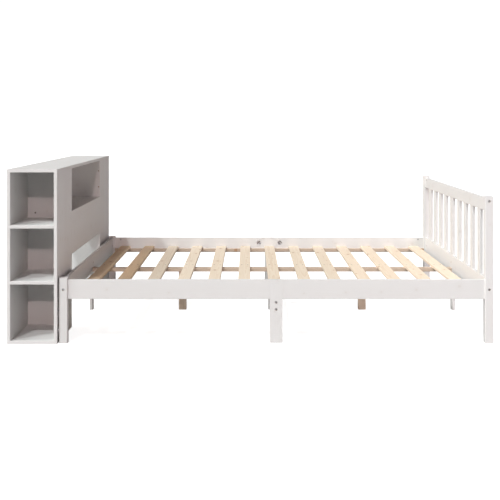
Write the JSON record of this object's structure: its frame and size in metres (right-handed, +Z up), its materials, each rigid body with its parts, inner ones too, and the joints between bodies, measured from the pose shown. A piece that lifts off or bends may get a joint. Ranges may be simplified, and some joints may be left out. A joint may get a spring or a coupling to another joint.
{
  "type": "bookcase headboard bed",
  "caption": "Low wooden bed with a slatted footboard and an open slat base, and a bookcase headboard with side compartments and a front niche.",
  "frame": {"origin": "middle of the floor under the whole bed: the bottom centre of its box", "axes": "+X from the head to the foot, +Z up, +Y to the left of someone sitting up in the bed"},
  "size_m": [2.299, 1.68, 0.825],
  "materials": {
    "white_lacquer": "satin white lacquer over solid pine",
    "natural_pine": "planed, untreated pine",
    "zinc_steel": "zinc plated",
    "beech": "plain beech"
  },
  "bodies": {
    "root": {"barrel_nuts": "zinc_steel", "base_board_left": "white_lacquer", "base_board_right": "white_lacquer", "bookcase_top": "white_lacquer", "centre_beam_foot": "natural_pine", "centre_beam_head": "natural_pine", "centre_leg": "white_lacquer", "crescent_washers": "zinc_steel", "cross_beam": "white_lacquer", "divider_left": "white_lacquer", "divider_right": "white_lacquer", "dowels": "beech", "end_leg_foot": "white_lacquer", "end_leg_head": "white_lacquer", "foot_bars": "white_lacquer", "foot_centre_stile": "white_lacquer", "foot_lower_rail": "white_lacquer", "foot_post_left": "white_lacquer", "foot_post_right": "white_lacquer", "foot_top_rail": "white_lacquer", "frame_bolts": "zinc_steel", "front_centre_panel": "white_lacquer", "front_column_left": "white_lacquer", "front_column_right": "white_lacquer", "head_post_left": "white_lacquer", "head_post_right": "white_lacquer", "head_rail": "white_lacquer", "link_spacers": "zinc_steel", "lower_shelf_left": "white_lacquer", "lower_shelf_right": "white_lacquer", "mid_post_left": "white_lacquer", "mid_post_right": "white_lacquer", "module_back_left": "white_lacquer", "module_back_right": "white_lacquer", "niche_back_panel": "white_lacquer", "niche_shelf": "white_lacquer", "pine_leg_foot": "natural_pine", "pine_leg_head": "natural_pine", "rod_nuts": "zinc_steel", "side_battens": "natural_pine", "side_rail_foot_left": "white_lacquer", "side_rail_foot_right": "white_lacquer", "side_rail_head_left": "white_lacquer", "side_rail_head_right": "white_lacquer", "slat_01": "natural_pine", "slat_02": "natural_pine", "slat_03": "natural_pine", "slat_04": "natural_pine", "slat_05": "natural_pine", "slat_06": "natural_pine", "slat_07": "natural_pine", "slat_08": "natural_pine", "slat_09": "natural_pine", "slat_10": "natural_pine", "slat_11": "natural_pine", "slat_12": "natural_pine", "slat_13": "natural_pine", "threaded_rods": "zinc_steel", "upper_shelf_left": "white_lacquer", "upper_shelf_right": "white_lacquer"}
  },
  "joints": []
}
